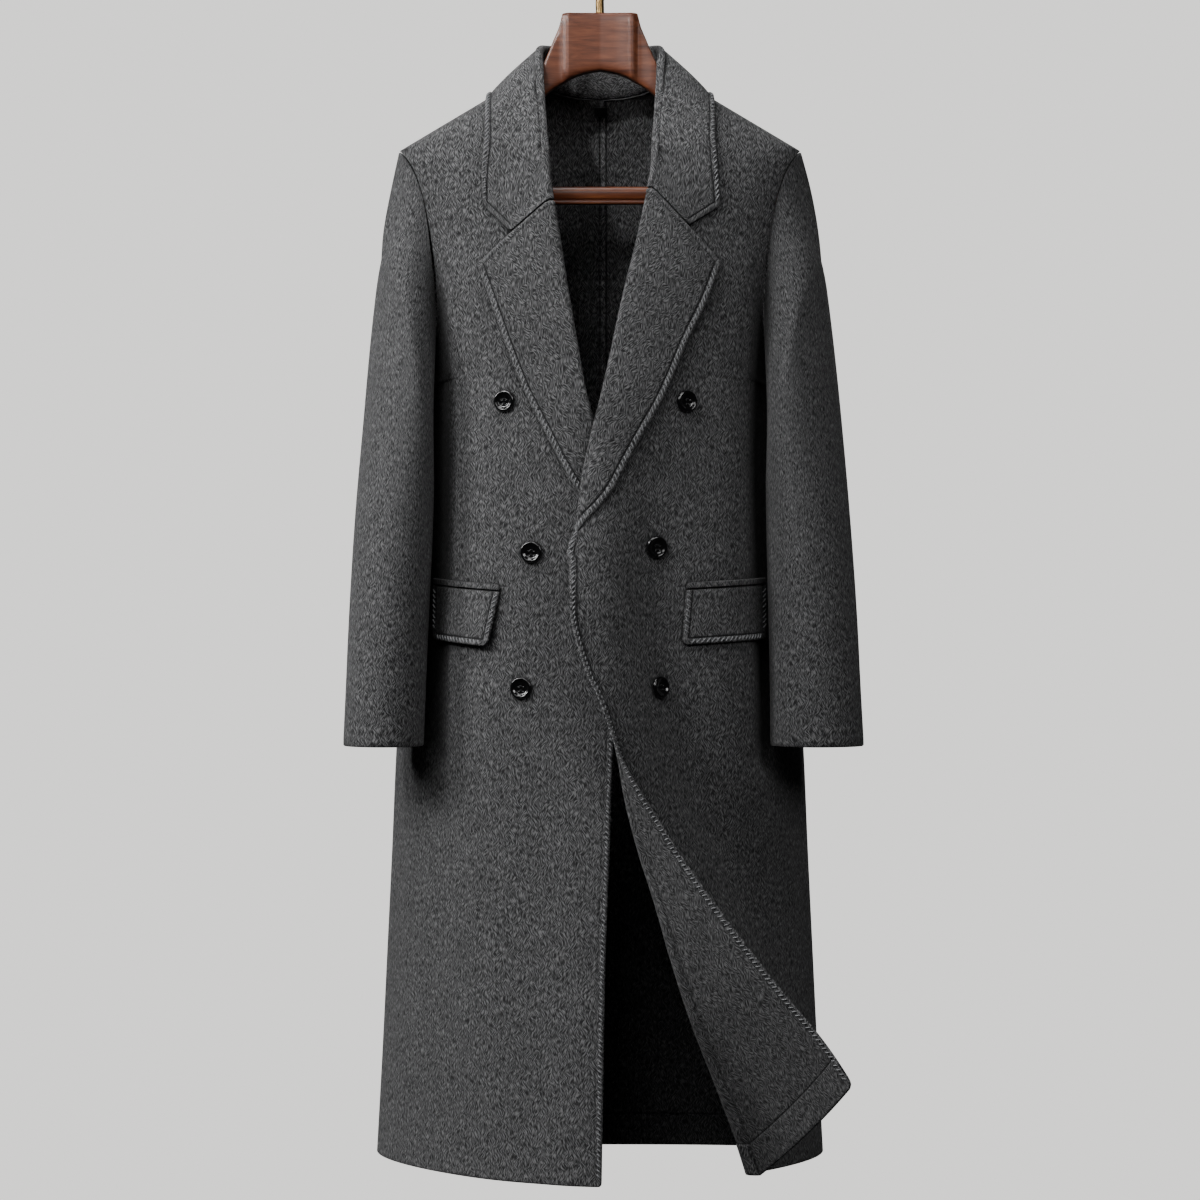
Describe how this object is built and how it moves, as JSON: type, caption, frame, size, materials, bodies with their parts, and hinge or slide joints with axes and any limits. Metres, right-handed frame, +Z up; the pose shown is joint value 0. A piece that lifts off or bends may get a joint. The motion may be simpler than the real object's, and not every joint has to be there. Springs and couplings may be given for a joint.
{
  "type": "wool overcoat on a wooden hanger",
  "caption": "Long double-breasted wool overcoat with notched lapels, flap pockets and an open front, hanging hollow and unbuttoned on a contoured wooden hanger with a trouser bar.",
  "frame": {"origin": "the inside top of the hanger's hook, where it rests on a rail", "axes": "+X towards the wearer's left, which is the viewer's right; -Y is the coat's front; +Z up"},
  "size_m": [0.5662, 0.345, 1.3538],
  "materials": {
    "wool": "brushed charcoal-grey double-faced wool",
    "button": "glossy black four-hole buttons",
    "ribbon": "black woven tape",
    "hanger_wood": "mahogany-stained, satin varnish",
    "hook_brass": "antique brass, satin"
  },
  "bodies": {
    "root": {"front_left": "wool", "front_right": "wool", "back_left": "wool", "back_right": "wool", "sleeve_left": "wool", "sleeve_right": "wool", "collar": "wool", "pocket_flap_left": "wool", "pocket_welt_left": "wool", "pocket_flap_right": "wool", "pocket_welt_right": "wool", "button_left_1": "button", "button_left_2": "button", "button_left_3": "button", "button_right_1": "button", "button_right_2": "button", "button_right_3": "button", "hang_loop": "ribbon", "hanger_body": "hanger_wood", "hanger_bar": "hanger_wood", "hanger_hook": "hook_brass"}
  },
  "joints": []
}
